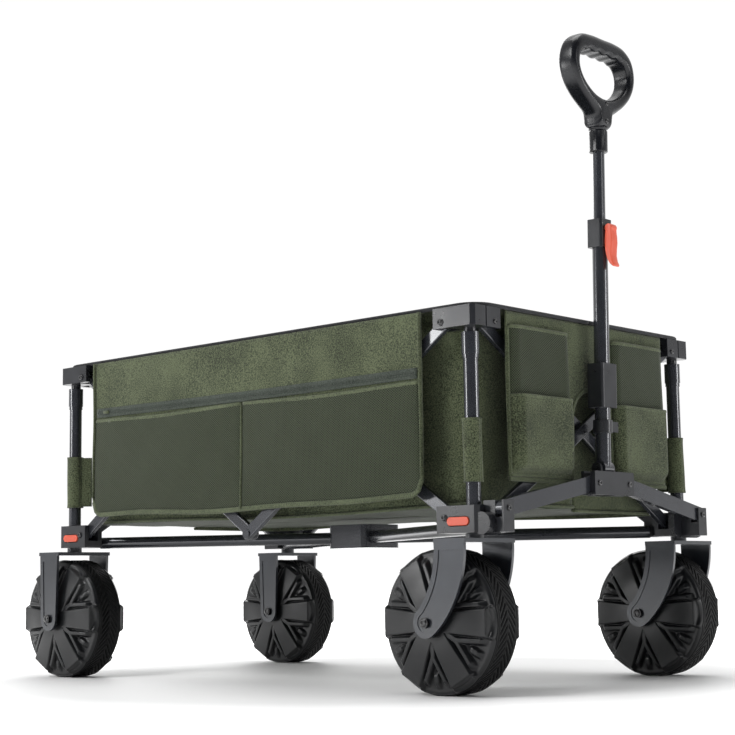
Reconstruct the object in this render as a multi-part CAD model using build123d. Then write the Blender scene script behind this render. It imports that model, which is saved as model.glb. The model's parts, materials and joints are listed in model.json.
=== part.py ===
"""Folding utility wagon with a telescopic pull handle.

Millimetres, +X towards the pull handle, +Y to the wagon's left, +Z up.
The origin is on the floor, in the middle of the wagon's overall box.
Each corner is drawn once, with local +X and +Y pointing outwards from its post, then mirrored.
"""

import os
from math import hypot

from build123d import *

# Frame layout
FRAME_MID_X = 14.2
POST_X = 463.0
POST_Y = 269.0
RIM_Z = 560.0
RIM_HALF_LENGTH = 485.0
RIM_HALF_WIDTH = 280.0
TUBE_R = 11.0
INNER_TUBE_R = 8.5
COLLAR_R = 13.0

# Scissor frame: pivot heights and the distance of each pivot from its post
BASE_PIVOT_Z = 250.0
TOP_PIVOT_Z = 533.0
SIDE_RISE = 293.0
SIDE_PIVOT_IN = 40.0
END_PIVOT_IN = 32.0
LINK_HEIGHT = 19.0
LINK_T = 9.0
LINK_GAP = 0.3
PIN_R = 4.0
PIN_PLAY = 0.1

# Corner brackets
BRACKET_OUT_X = 21.0
BRACKET_OUT_Y = 19.0
SIDE_ARM = 54.0
END_ARM = 45.0
BASE_Z0 = 228.0
BASE_Z1 = 267.0
TOP_Z0 = 524.0
TOP_Z1 = 554.0
SLOT_HALF = 10.0

# Wheels and forks
WHEEL_R = 103.0
TREAD_FLAT = 16.0
WHEEL_HALF = 45.0
CORE_R = 92.0
CORE_HALF = 38.5
SHOULDER_R = 97.0
SHOULDER_HALF = 37.0
AXLE_R = 6.0
CASTER_TRAIL = 47.0
FORK_HALF = 57.0
LEG_T = 5.0
PRESS_EDGE = 8.0
PRESS_DEPTH = 1.2
CROWN_Z0 = 212.0
CROWN_Z1 = 220.0
STEM_R = 7.0

# Tow linkage in front of the front posts
ARM_X = 508.0
ARM_T = 11.0
ARM_H = 24.0
CLEVIS_Y = 258.0
CLEVIS_Z = 262.0
YOKE_Y = 40.0
YOKE_Z = 304.0
YOKE_HALF = 52.0
YOKE_FRONT = 522.0

# Pull handle, in its own frame: origin on its pivot, z along the tubes
HANDLE_X = 502.0
HANDLE_Z = 328.0
HANDLE_LEAN = 1.2
LOWER_R = 12.0
UPPER_R = 9.3
LOWER_TOP = 352.0
COLLAR_BOTTOM = 343.0
COLLAR_TOP = 387.0
UPPER_BOTTOM = 150.0
FERRULE_Z0 = 495.0
FERRULE_Z1 = 532.0
GRIP_T = 34.0
LEVER_X = 20.5
LEVER_Z = 372.0
LEVER_EYE_R = 6.3

# Fabric
TUB_HALF_X = 445.0
TUB_HALF_Y = 249.0
TUB_FLOOR_Z = 266.0
CLOTH = 4.0
PANEL_Y = 284.5
PANEL_HALF = 383.0
PANEL_Z0 = 283.0
POCKET_GAP = 8.0
SLEEVE_Z0 = 300.0
SLEEVE_Z1 = 392.0

ENDS = {"rear": -1, "front": 1}
SIDES = {"right": -1, "left": 1}


def block(x0, x1, y0, y1, z0, z1):
    """A box between two opposite corners."""
    size = Box(abs(x1 - x0), abs(y1 - y0), abs(z1 - z0))
    return Pos((x0 + x1) / 2, (y0 + y1) / 2, (z0 + z1) / 2) * size


def upright(x, y, z0, z1, radius):
    """A vertical cylinder."""
    return Pos(x, y, (z0 + z1) / 2) * Cylinder(radius, z1 - z0)


def along_x(x0, x1, y, z, radius):
    """A cylinder along X."""
    return Pos((x0 + x1) / 2, y, z) * Rot(0, 90, 0) * Cylinder(radius, abs(x1 - x0))


def along_y(y0, y1, x, z, radius):
    """A cylinder along Y."""
    return Pos(x, (y0 + y1) / 2, z) * Rot(90, 0, 0) * Cylinder(radius, abs(y1 - y0))


def at_corner(shape, end, side):
    """Mirror a corner's shape outwards and carry it to its post."""
    if ENDS[end] < 0:
        shape = mirror(shape, about=Plane.YZ)
    if SIDES[side] < 0:
        shape = mirror(shape, about=Plane.XZ)
    return Pos(FRAME_MID_X + ENDS[end] * POST_X, SIDES[side] * POST_Y, 0) * shape


def write(shape, node):
    """Write one sub-part."""
    export_step(shape, f"parts/{node}.step")


def link_blank(length, height, thickness, holes):
    """A flat bar with round ends, pivot to pivot along local X, centred."""
    outline = SlotCenterToCenter(length, height)
    for x in holes:
        outline -= Pos(x, 0) * Circle(PIN_R + PIN_PLAY)
    bar = extrude(outline, amount=thickness / 2, both=True)
    return fillet(bar.edges().filter_by(GeomType.LINE).filter_by(Axis.X), 2.0)


# ---------------------------------------------------------------- corners


def bracket_blank(z0, z1):
    """The L-shaped plastic block that holds a post and two link ends."""
    body = block(-SIDE_ARM, BRACKET_OUT_X, -BRACKET_OUT_Y, BRACKET_OUT_Y, z0, z1)
    body += block(-17, BRACKET_OUT_X, -END_ARM, BRACKET_OUT_Y, z0, z1)
    outer = [e for e in body.edges().filter_by(Axis.Z) if e.center().X > 20 and e.center().Y > 18]
    return chamfer(outer, 6.0)


def link_slots(z0, z1):
    """The two slots that the link ends turn in."""
    side = block(-SIDE_ARM - 1, -SIDE_PIVOT_IN + 12.5, -SLOT_HALF, SLOT_HALF, z0, z1)
    end = block(-SLOT_HALF, SLOT_HALF, -END_ARM - 1, -END_PIVOT_IN + 12.5, z0, z1)
    return side + end


def pivot_pins(z, end_pin):
    """Shouldered pins across the slots, with round heads outside."""
    pins = along_y(-BRACKET_OUT_Y + 1, BRACKET_OUT_Y, -SIDE_PIVOT_IN, z, PIN_R)
    pins += along_y(BRACKET_OUT_Y, BRACKET_OUT_Y + 1.5, -SIDE_PIVOT_IN, z, 5.5)
    if end_pin:
        pins += along_x(-16, BRACKET_OUT_X, -END_PIVOT_IN, z, PIN_R)
        pins += along_x(BRACKET_OUT_X, BRACKET_OUT_X + 1.5, -END_PIVOT_IN, z, 5.5)
    return pins


def base_bracket(end, side):
    """Lower corner bracket, with the seat of the release button."""
    body = bracket_blank(BASE_Z0, BASE_Z1)
    body += block(-30, -10, -32, -10, BASE_Z0 + 2, BASE_Z1 - 4)
    body -= link_slots(BASE_PIVOT_Z - 10.5, BASE_Z1 + 1)
    seat = Pos(-14, BRACKET_OUT_Y, 244.5) * Rot(90, 0, 0) * SlotOverall(42, 14.5)
    body -= extrude(seat, amount=7)
    if end == "front":
        body += along_y(-BRACKET_OUT_Y, 15, 24, 241, 16)
        body += clevis(side == "right")
        body -= upright(0, 0, BASE_Z0 - 1, BASE_Z0 + 12.5, STEM_R + 0.05)
    body -= upright(0, 0, BASE_Z0 + 14, BASE_Z1 + 1, TUBE_R)
    body += pivot_pins(BASE_PIVOT_Z, not (end == "front" and side == "left"))
    return at_corner(body, end, side)


def clevis(has_pin):
    """Forked lug in front of a front bracket, which holds a tow arm."""
    face = ARM_X - POST_X
    near = CLEVIS_Y - POST_Y
    gap = ARM_T / 2 + 0.5
    lug = block(18, face + gap + 3, near - 12, near + 12, BASE_Z0, CLEVIS_Z + 11)
    lug -= block(face - gap, face + gap, near - 13, near + 13, CLEVIS_Z - 13, CLEVIS_Z + 12)
    pin_start = face - gap - 1 if has_pin else face + gap + 1
    lug += along_x(pin_start, face + gap + 4.5, near, CLEVIS_Z, PIN_R)
    return lug


def top_bracket(end, side):
    """Upper corner bracket with the inner telescopic tube that slides in the post."""
    body = bracket_blank(TOP_Z0, TOP_Z1)
    body -= link_slots(TOP_Z0 - 1, TOP_PIVOT_Z + 10.5)
    body -= block(BRACKET_OUT_X - 1.2, BRACKET_OUT_X + 1, -13, -10.5, TOP_Z0 - 1, TOP_Z1 + 1)
    body += upright(0, 0, BASE_Z1 + 13, TOP_Z0 + 2, INNER_TUBE_R)
    body += pivot_pins(TOP_PIVOT_Z, False)
    return at_corner(body, end, side)


def post(end, side):
    """Outer post tube with the guide collar on its top end."""
    tube = upright(0, 0, BASE_Z0 + 14, 486, TUBE_R)
    tube += upright(0, 0, 484, 516, COLLAR_R)
    tube += upright(0, 0, 478, 484, TUBE_R + 1)
    tube -= upright(0, 0, BASE_Z0 + 16, 517, INNER_TUBE_R + 0.15)
    return at_corner(tube, end, side)


def release_button(end, side):
    """Spring button that frees the fold."""
    face = Pos(-14, BRACKET_OUT_Y + 2, 244.5) * Rot(90, 0, 0) * SlotOverall(40, 12.5)
    button = extrude(face, amount=5.5)
    outer = button.faces().sort_by(Axis.Y)[-1]
    return at_corner(fillet(outer.edges(), 1.2), end, side)


# ---------------------------------------------------------------- wheels


def leg_outline(end):
    """The side view of a fork leg, from the crown to the axle."""
    if end == "rear":
        blade = make_face(Polyline((-25, 218), (25, 218), (21, 103), (-21, 103), (-25, 218)))
        return blade + Pos(0, 103) * Circle(21)
    front_edge = ThreePointArc((26, 218), (14, 148), (-30, 88))
    back_edge = ThreePointArc((-67, 112), (-38, 156), (-29, 218))
    ends = [Line((-29, 218), (26, 218)), Line((-30, 88), (-67, 112))]
    blade = make_face([front_edge, back_edge] + ends)
    return blade + Pos(-CASTER_TRAIL, 103) * Circle(22)


def fork(end, side):
    """Wheel fork: crown plate, two pressed legs and the stem."""
    outline = leg_outline(end)
    leg = extrude(Plane.XZ * outline, amount=LEG_T / 2, both=True)
    pressed = extrude(Plane.XZ * offset(outline, amount=-PRESS_EDGE), amount=-PRESS_DEPTH)
    pressed -= block(-99, 99, -9, 9, CROWN_Z0 - PRESS_EDGE, CROWN_Z1)
    outer_leg = leg - Pos(0, LEG_T / 2 - PRESS_DEPTH, 0) * pressed
    body = Pos(0, FORK_HALF - LEG_T / 2, 0) * outer_leg
    body += Pos(0, -FORK_HALF + LEG_T / 2, 0) * Rot(0, 0, 180) * mirror(outer_leg, about=Plane.YZ)
    body += block(-29, 28, -FORK_HALF, FORK_HALF, CROWN_Z0 + 2, CROWN_Z1)
    top = BASE_Z0 if end == "rear" else BASE_Z0 + 12
    body += upright(0, 0, CROWN_Z1 - 1, BASE_Z0 - 0.4, STEM_R + 6)
    body += upright(0, 0, CROWN_Z1 - 1, top, STEM_R)
    axle_x = 0 if end == "rear" else -CASTER_TRAIL
    body -= along_y(-FORK_HALF - 1, FORK_HALF + 1, axle_x, WHEEL_R, AXLE_R)
    return at_corner(body, end, side)


def axle(end, side):
    """Axle bolt with its head, nut and two spacers beside the hub."""
    x = 0 if end == "rear" else -CASTER_TRAIL
    bolt = along_y(-FORK_HALF - 3, FORK_HALF + 1, x, WHEEL_R, AXLE_R)
    for y0, y1, radius in (
        (FORK_HALF, FORK_HALF + 4, 7.5),
        (-FORK_HALF - 4, -FORK_HALF, 7.5),
        (WHEEL_HALF + 0.4, FORK_HALF - LEG_T, 11),
        (-FORK_HALF + LEG_T, -WHEEL_HALF - 0.4, 11),
    ):
        bolt += along_y(y0, y1, x, WHEEL_R, radius)
    return at_corner(bolt, end, side)


def mirrored_across(half):
    """Closed outline from its half on +Y, with the same half mirrored on -Y."""
    return half + [(r, -y) for r, y in half[::-1]] + half[:1]


def wheel_core(end, side):
    """Moulded wheel body with domed sides, up to the tread's seat."""
    x = 0 if end == "rear" else -CASTER_TRAIL
    half = [(AXLE_R + 0.05, WHEEL_HALF), (24, WHEEL_HALF), (60, 43), (CORE_R, CORE_HALF)]
    cavity = [(28, 39), (66, 37), (CORE_R - 7, 33)]
    profile = make_face(Polyline(*mirrored_across(half)))
    profile -= make_face(Polyline(*mirrored_across(cavity)))
    core = revolve(profile, Axis.Y)
    return at_corner(Pos(x, 0, WHEEL_R) * core, end, side)


def tread(end, side):
    """Soft tread ring with rounded shoulders."""
    x = 0 if end == "rear" else -CASTER_TRAIL
    edges = [
        Line((CORE_R, -CORE_HALF), (CORE_R, CORE_HALF)),
        Line((CORE_R, CORE_HALF), (SHOULDER_R, SHOULDER_HALF)),
        ThreePointArc((SHOULDER_R, SHOULDER_HALF), (101, 27), (WHEEL_R, TREAD_FLAT)),
        Line((WHEEL_R, TREAD_FLAT), (WHEEL_R, -TREAD_FLAT)),
        ThreePointArc((WHEEL_R, -TREAD_FLAT), (101, -27), (SHOULDER_R, -SHOULDER_HALF)),
        Line((SHOULDER_R, -SHOULDER_HALF), (CORE_R, -CORE_HALF)),
    ]
    ring = revolve(make_face(edges), Axis.Y)
    return at_corner(Pos(x, 0, WHEEL_R) * ring, end, side)


# ---------------------------------------------------------------- scissor links


def side_links(side):
    """Four links of one long side: two from the base, two from the top."""
    s = SIDES[side]
    outer = s * (POST_Y + LINK_T / 2 + LINK_GAP)
    inner = s * (POST_Y - LINK_T / 2 - LINK_GAP)
    reach = POST_X - SIDE_PIVOT_IN
    rear = FRAME_MID_X - reach
    front = FRAME_MID_X + reach
    mid = FRAME_MID_X
    cross = (TOP_PIVOT_Z - BASE_PIVOT_Z) / (2 * SIDE_RISE)
    high = BASE_PIVOT_Z + SIDE_RISE
    low = TOP_PIVOT_Z - SIDE_RISE
    rows = (
        ("base_rear", (rear, BASE_PIVOT_Z), (mid, high), outer, True),
        ("base_front", (front, BASE_PIVOT_Z), (mid, high), inner, False),
        ("top_rear", (rear, TOP_PIVOT_Z), (mid, low), inner, False),
        ("top_front", (front, TOP_PIVOT_Z), (mid, low), outer, True),
    )
    for name, start, stop, layer, is_outer in rows:
        link = side_link(start, stop, layer, cross, s, is_outer)
        write(link, f"side_link_{side}_{name}")


def side_link(start, stop, layer, cross, s, is_outer):
    """One side link; the outer ones carry the rivets of their two joints."""
    du = stop[0] - start[0]
    dz = stop[1] - start[1]
    length = hypot(du, dz)
    middle = -length / 2 + cross * length
    holes = [-length / 2] if is_outer else [-length / 2, length / 2, middle]
    bar = link_blank(length, LINK_HEIGHT, LINK_T, holes)
    plane = Plane(
        origin=((start[0] + stop[0]) / 2, layer, (start[1] + stop[1]) / 2),
        x_dir=(du, 0, dz),
        z_dir=(0, s, 0),
    )
    if is_outer:
        for x in (middle, length / 2):
            bar += Pos(x, 0, 0) * outer_rivet()
    return plane * bar


def outer_rivet():
    """A rivet from an outer link through the inner one, head on both sides."""
    top = LINK_T / 2
    depth = LINK_T / 2 + 3 * LINK_GAP + LINK_T
    shank = Pos(0, 0, (top - depth - 1) / 2) * Cylinder(PIN_R, top + depth + 1)
    head = Pos(0, 0, top + 0.9) * Cylinder(7.5, 2.2)
    tail = Pos(0, 0, -depth - 0.8) * Cylinder(7.5, 1.6)
    return shank + head + tail


def end_links(end):
    """The crossed pair at one end, from each base bracket to the opposite top."""
    e = ENDS[end]
    x = FRAME_MID_X + e * POST_X
    reach = POST_Y - END_PIVOT_IN
    for side, layer, is_outer in (("right", 1, True), ("left", -1, False)):
        s = SIDES[side]
        du = -2 * s * reach
        dz = TOP_PIVOT_Z - BASE_PIVOT_Z
        length = hypot(du, dz)
        holes = [-length / 2, length / 2] if is_outer else [-length / 2, 0, length / 2]
        bar = link_blank(length, LINK_HEIGHT, LINK_T, holes)
        if is_outer:
            bar += outer_rivet()
        plane = Plane(
            origin=(x + e * layer * (LINK_T / 2 + LINK_GAP), 0, (TOP_PIVOT_Z + BASE_PIVOT_Z) / 2),
            x_dir=(0, du, dz),
            z_dir=(e, 0, 0),
        )
        write(plane * bar, f"{end}_cross_link_{side}")


def bed_cross():
    """Four diagonal bed tubes and the central hub under the floor."""
    hub = fillet(block(-46, 46, -46, 46, 218, 258).edges().filter_by(Axis.Z), 14)
    body = hub
    x1 = POST_X - 33
    y1 = POST_Y - 34
    run = hypot(x1, y1)
    for sx in (-1, 1):
        for sy in (-1, 1):
            plane = Plane(origin=(0, 0, 236), x_dir=(0, 0, 1), z_dir=(sx * x1, sy * y1, 0))
            tube = Cylinder(10, run - 40) - Cylinder(8.5, run - 39)
            body += plane * Pos(0, 0, run / 2 + 20) * tube
    return Pos(FRAME_MID_X, 0, 0) * body


# ---------------------------------------------------------------- tow linkage


def tow_arm(side):
    """Rectangular arm from a front clevis up to the yoke."""
    s = SIDES[side]
    du = YOKE_Y - CLEVIS_Y
    dz = YOKE_Z - CLEVIS_Z
    length = hypot(du, dz)
    holes = [length / 2] if side == "left" else [-length / 2, length / 2]
    outline = SlotCenterToCenter(length, ARM_H)
    for x in (-length / 2, length / 2):
        outline -= Pos(x, 0) * Circle(PIN_R + (PIN_PLAY if x in holes else 2.5))
    bar = extrude(outline, amount=ARM_T / 2, both=True)
    plane = Plane(
        origin=(FRAME_MID_X + ARM_X, s * (CLEVIS_Y + YOKE_Y) / 2, (CLEVIS_Z + YOKE_Z) / 2),
        x_dir=(0, s * du, dz),
        z_dir=(1, 0, 0),
    )
    return plane * bar


def handle_yoke():
    """Centre bracket between the tow arms, with the cheeks of the handle's pivot."""
    gap = ARM_T / 2 + 0.5
    z0 = YOKE_Z - 18
    z1 = YOKE_Z + 18
    front = fillet(
        block(ARM_X + gap, YOKE_FRONT, -YOKE_HALF, YOKE_HALF, z0, z1).edges().filter_by(Axis.X), 2
    )
    front -= block(ARM_X, HANDLE_X + LOWER_R + 1, -14, 14, z0 - 1, z1 + 1)
    body = front
    for s in (-1, 1):
        body += block(ARM_X - gap - 5, ARM_X - gap, s * 14, s * YOKE_HALF, z0, z1)
        cheek = block(484, YOKE_FRONT, s * 13.4, s * 19, z0, z1)
        ear = along_y(s * 13.4, s * 19, HANDLE_X, HANDLE_Z, 8.5)
        ear += block(HANDLE_X - 8.5, HANDLE_X + 8.5, s * 13.4, s * 19, z0, HANDLE_Z)
        body += cheek + ear
        body += along_x(ARM_X - gap - 6, YOKE_FRONT + 1.5, s * YOKE_Y, YOKE_Z, PIN_R)
    body += block(484, 488, -19, 19, z0, z1)
    body += along_y(-20.5, 20.5, HANDLE_X, HANDLE_Z, PIN_R)
    return Pos(FRAME_MID_X, 0, 0) * body


def on_handle(shape):
    """Carry a shape from the handle's own frame to its upright rest place."""
    return Pos(FRAME_MID_X + HANDLE_X, 0, HANDLE_Z) * Rot(0, HANDLE_LEAN, 0) * shape


def lower_tube():
    """Lower handle tube with a round foot on the pivot."""
    tube = upright(0, 0, 0, LOWER_TOP, LOWER_R) + along_y(-LOWER_R, LOWER_R, 0, 0, LOWER_R)
    tube -= upright(0, 0, 16, LOWER_TOP + 1, UPPER_R + 0.4)
    tube -= along_y(-LOWER_R - 1, LOWER_R + 1, 0, 0, PIN_R + PIN_PLAY)
    return on_handle(tube)


def tube_guard():
    """Rectangular guard block round the lower tube."""
    body = block(-15, 15, -20, 20, 93, 161)
    body = fillet(body.edges().filter_by(Axis.Z), 4)
    body -= upright(0, 0, 92, 162, LOWER_R)
    return on_handle(body)


def storage_clip():
    """Snap clip on the lower tube, with two fins towards the left."""
    ring = upright(0, 0, 54, 74, LOWER_R + 3)
    ring += block(-11, -6, 0, 26, 56, 72) + block(6, 11, 0, 26, 56, 72)
    ring -= upright(0, 0, 53, 75, LOWER_R)
    return on_handle(ring)


def clamp_collar():
    """Clamp on the lower tube's top, which the upper tube slides through."""
    body = fillet(block(-15, 13.6, -15, 15, COLLAR_BOTTOM, COLLAR_TOP).edges().filter_by(Axis.Z), 5)
    body += block(10, LEVER_X, -3.2, 3.2, LEVER_Z - 5, LEVER_Z + 5) + along_y(-3.2, 3.2, LEVER_X, LEVER_Z, 5)
    body -= upright(0, 0, COLLAR_BOTTOM - 1, LOWER_TOP, LOWER_R)
    body -= upright(0, 0, COLLAR_BOTTOM - 1, COLLAR_TOP + 1, UPPER_R + 0.15)
    body += along_y(-8, 8, LEVER_X, LEVER_Z, 1.8)
    return on_handle(body)


def clamp_lever():
    """Cam lever on the front of the clamp: round eye, crescent leaf and a flicked-out tail."""
    eye = Plane.XZ * Pos(LEVER_X, LEVER_Z) * Circle(LEVER_EYE_R)
    front = ThreePointArc((LEVER_X + LEVER_EYE_R, LEVER_Z), (21.5, 342), (29, 312))
    back = ThreePointArc((26, 310), (17, 338), (LEVER_X - LEVER_EYE_R, LEVER_Z))
    ends = [Line((29, 312), (26, 310)), Line((LEVER_X - LEVER_EYE_R, LEVER_Z), (LEVER_X + LEVER_EYE_R, LEVER_Z))]
    leaf = extrude(Plane.XZ * make_face([front, back] + ends), amount=8, both=True)
    leaf += extrude(eye, amount=8, both=True)
    leaf -= block(0, 40, -3.5, 3.5, LEVER_Z - 9, LEVER_Z + 9)
    leaf -= along_y(-9, 9, LEVER_X, LEVER_Z, 1.9)
    return on_handle(leaf)


def upper_tube():
    """Upper handle tube, which carries the grip."""
    return on_handle(upright(0, 0, UPPER_BOTTOM, FERRULE_Z0 + 12, UPPER_R))


def hull_of(discs):
    """Outline hull of discs given as (y, z, radius)."""
    edges = []
    for y, z, radius in discs:
        edges += (Pos(y, z) * Circle(radius)).edges()
    return make_hull(edges)


def grip():
    """Closed D-shaped grip on a round ferrule."""
    outer = hull_of([(0, 590, 27), (-40, 634, 43), (40, 634, 43)])
    inner = hull_of([(0, 584, 5), (-41, 626, 24), (41, 626, 24)])
    neck = Pos(0, (FERRULE_Z1 + 588) / 2) * Rectangle(34, 588 - FERRULE_Z1)
    ring = extrude(Plane.YZ * (outer + neck - inner), amount=GRIP_T / 2, both=True)
    for x in (GRIP_T / 2, -GRIP_T / 2):
        rim = [e for e in ring.edges() if abs(e.center().X - x) < 0.01 and e.center().Z > FERRULE_Z1 + 12]
        ring = chamfer(rim, 3.5)
    ring += upright(0, 0, FERRULE_Z0, FERRULE_Z1 + 6, 14.4)
    ring -= upright(0, 0, FERRULE_Z0 - 1, FERRULE_Z0 + 12, UPPER_R)
    return on_handle(ring)


# ---------------------------------------------------------------- fabric


def tub():
    """Fabric tub: four walls, floor and the flat hem that rests on the brackets."""
    x, y = TUB_HALF_X, TUB_HALF_Y
    outer = fillet(block(-x, x, -y, y, TUB_FLOOR_Z, RIM_Z - 1).edges().filter_by(Axis.Z), 34)
    inner = block(-x + CLOTH, x - CLOTH, -y + CLOTH, y - CLOTH, TUB_FLOOR_Z + 7, RIM_Z + 1)
    inner = fillet(inner.edges().filter_by(Axis.Z), 30)
    lip = block(
        -RIM_HALF_LENGTH, RIM_HALF_LENGTH, -RIM_HALF_WIDTH, RIM_HALF_WIDTH, TOP_Z1 + 0.4, RIM_Z
    )
    lip = fillet(lip.edges().filter_by(Axis.Z), 10)
    return Pos(FRAME_MID_X, 0, 0) * (outer + lip - inner)


def post_sleeves():
    """Four fabric loops round the posts."""
    body = None
    for end in ENDS:
        for side in SIDES:
            loop = upright(0, 0, SLEEVE_Z0, SLEEVE_Z1, TUBE_R + 3)
            loop -= upright(0, 0, SLEEVE_Z0 - 1, SLEEVE_Z1 + 1, TUBE_R + 0.4)
            placed = at_corner(loop, end, side)
            body = placed if body is None else body + placed
    return body


def side_panel(side):
    """Side panel hung from the rim, with two open-topped pockets."""
    x = PANEL_HALF
    y0 = PANEL_Y
    y1 = y0 + 3
    y2 = y1 + POCKET_GAP
    y3 = y2 + 3
    top = TOP_Z1 - 1
    panel = block(-x, x, y0, y1, PANEL_Z0, top)
    bag = block(-x, x, y1, y3, PANEL_Z0, 448)
    for x0, x1 in ((-x + 10, -3), (3, x - 10)):
        bag -= block(x0, x1, y1, y2, PANEL_Z0 + 10, 449)
    panel += bag
    corners = panel.edges().filter_by(Axis.Y).group_by(Axis.Z)[0]
    panel = fillet(corners, 22)
    if SIDES[side] < 0:
        panel = mirror(panel, about=Plane.XZ)
    return Pos(FRAME_MID_X, 0, 0) * panel


def front_panel():
    """Front panel with an arch for the handle and a pouch on each side of it."""
    x0 = POST_X + 15
    x1 = x0 + 3
    x2 = x1 + 16
    x3 = x2 + 3
    panel = block(x0, x1, -208, 208, 305, TOP_Z1 - 1)
    panel -= block(x0 - 1, x1 + 1, -50, 50, 300, 400)
    panel -= along_x(x0 - 1, x1 + 1, 0, 400, 50)
    for s in (-1, 1):
        pouch = block(x1, x3, s * 57, s * 203, 312, 428)
        pouch -= block(x1, x2, s * 61, s * 199, 316, 429)
        panel += pouch
    return Pos(FRAME_MID_X, 0, 0) * panel


# ---------------------------------------------------------------- all parts


def build_corners():
    """Every piece that belongs to one of the four corners."""
    makers = {
        "post": post,
        "base_bracket": base_bracket,
        "top_bracket": top_bracket,
        "release_button": release_button,
        "fork": fork,
        "axle": axle,
        "wheel": wheel_core,
        "tread": tread,
    }
    for end in ENDS:
        for side in SIDES:
            for name, make in makers.items():
                write(make(end, side), f"{name}_{end}_{side}")


def build_frame():
    """Links, bed tubes and tow linkage."""
    for side in SIDES:
        side_links(side)
        write(tow_arm(side), f"tow_arm_{side}")
    for end in ENDS:
        end_links(end)
    write(bed_cross(), "bed_cross")
    write(handle_yoke(), "handle_yoke")


def build_handle():
    """Pull handle."""
    makers = {
        "handle_lower_tube": lower_tube,
        "handle_guard": tube_guard,
        "handle_clip": storage_clip,
        "clamp_collar": clamp_collar,
        "clamp_lever": clamp_lever,
        "handle_upper_tube": upper_tube,
        "handle_grip": grip,
    }
    for name, make in makers.items():
        write(make(), name)


def build_fabric():
    """Soft goods."""
    write(tub(), "fabric_tub")
    write(post_sleeves(), "post_sleeves")
    for side in SIDES:
        write(side_panel(side), f"side_panel_{side}")
    write(front_panel(), "front_panel")


os.makedirs("parts", exist_ok=True)
build_corners()
build_frame()
build_handle()
build_fabric()
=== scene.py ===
"""Looks of the folding wagon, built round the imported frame. Metres, +X towards the pull handle."""

import json
from math import atan2, cos, pi, radians, sin, tau

import bmesh
import bpy
import numpy as np
from mathutils import Matrix, Vector

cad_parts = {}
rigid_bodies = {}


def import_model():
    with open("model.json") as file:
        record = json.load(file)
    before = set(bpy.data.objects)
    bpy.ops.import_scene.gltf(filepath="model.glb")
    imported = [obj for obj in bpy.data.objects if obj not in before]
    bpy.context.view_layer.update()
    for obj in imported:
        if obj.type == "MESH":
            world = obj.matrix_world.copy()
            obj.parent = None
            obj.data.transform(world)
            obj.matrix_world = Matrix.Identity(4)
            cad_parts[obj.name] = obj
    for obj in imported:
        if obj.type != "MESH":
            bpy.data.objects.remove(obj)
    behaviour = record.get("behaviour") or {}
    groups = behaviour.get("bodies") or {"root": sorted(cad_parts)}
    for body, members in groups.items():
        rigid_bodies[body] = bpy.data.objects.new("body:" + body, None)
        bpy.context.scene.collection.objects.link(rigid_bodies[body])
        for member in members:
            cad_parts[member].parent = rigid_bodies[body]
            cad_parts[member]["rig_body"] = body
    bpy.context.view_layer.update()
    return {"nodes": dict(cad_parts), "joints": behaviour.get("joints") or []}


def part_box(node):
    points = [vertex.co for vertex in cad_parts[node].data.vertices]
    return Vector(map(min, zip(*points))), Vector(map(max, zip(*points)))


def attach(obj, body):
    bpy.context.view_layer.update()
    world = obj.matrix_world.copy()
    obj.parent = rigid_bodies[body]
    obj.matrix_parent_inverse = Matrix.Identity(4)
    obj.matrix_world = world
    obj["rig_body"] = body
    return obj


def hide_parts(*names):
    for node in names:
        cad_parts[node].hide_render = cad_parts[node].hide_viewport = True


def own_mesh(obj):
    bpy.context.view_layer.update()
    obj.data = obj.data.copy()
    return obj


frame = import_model()

MM = 0.001
FOLD_JOINT = "frame_fold"
FOLDS = any(j["name"] == FOLD_JOINT for j in frame["joints"])
ENDS = {"rear": -1, "front": 1}
SIDES = {"right": -1, "left": 1}


def body_with(node):
    """The body that a CAD node moves with."""
    return frame["nodes"][node]["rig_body"]


def middle(node):
    """The centre of a CAD node's box."""
    low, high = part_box(node)
    return (low + high) / 2


# Places read from the frame
POST = {(e, s): middle(f"post_{e}_{s}") for e in ENDS for s in SIDES}
HUB = {(e, s): middle(f"wheel_{e}_{s}") for e in ENDS for s in SIDES}
TUB_LOW, TUB_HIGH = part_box("fabric_tub")
MID_X = (TUB_LOW.x + TUB_HIGH.x) / 2

# Frame sizes that the looks need
BASE_PIVOT_Z = 0.250
TOP_PIVOT_Z = 0.533
SIDE_PIVOT_IN = 0.040
END_PIVOT_IN = 0.032
YOKE_PIVOT_Y = 0.040
YOKE_PIVOT_Z = 0.304
CLEVIS_Y = 0.258
CLEVIS_Z = 0.262


# ---------------------------------------------------------------- materials


def new_material(name):
    """An empty node material with its Principled shader."""
    mat = bpy.data.materials.new(name)
    mat.use_nodes = True
    tree = mat.node_tree
    return mat, tree, tree.nodes["Principled BSDF"]


def add(tree, kind, **settings):
    """Add a node; settings name its properties or, with a number, its inputs."""
    node = tree.nodes.new(kind)
    for key, value in settings.items():
        setattr(node, key, value)
    return node


def math_node(tree, operation, a, b=None):
    """A Math node on sockets or numbers."""
    node = add(tree, "ShaderNodeMath", operation=operation)
    for slot, value in ((0, a), (1, b)):
        if value is None:
            continue
        if isinstance(value, (int, float)):
            node.inputs[slot].default_value = value
        else:
            tree.links.new(value, node.inputs[slot])
    return node.outputs[0]


def ramp(tree, fac, stops):
    """A colour ramp from (position, colour) stops."""
    node = add(tree, "ShaderNodeValToRGB")
    while len(node.color_ramp.elements) < len(stops):
        node.color_ramp.elements.new(0.5)
    for element, (position, colour) in zip(node.color_ramp.elements, stops):
        element.position = position
        element.color = (*colour, 1)
    tree.links.new(fac, node.inputs[0])
    return node.outputs[0]


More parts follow.
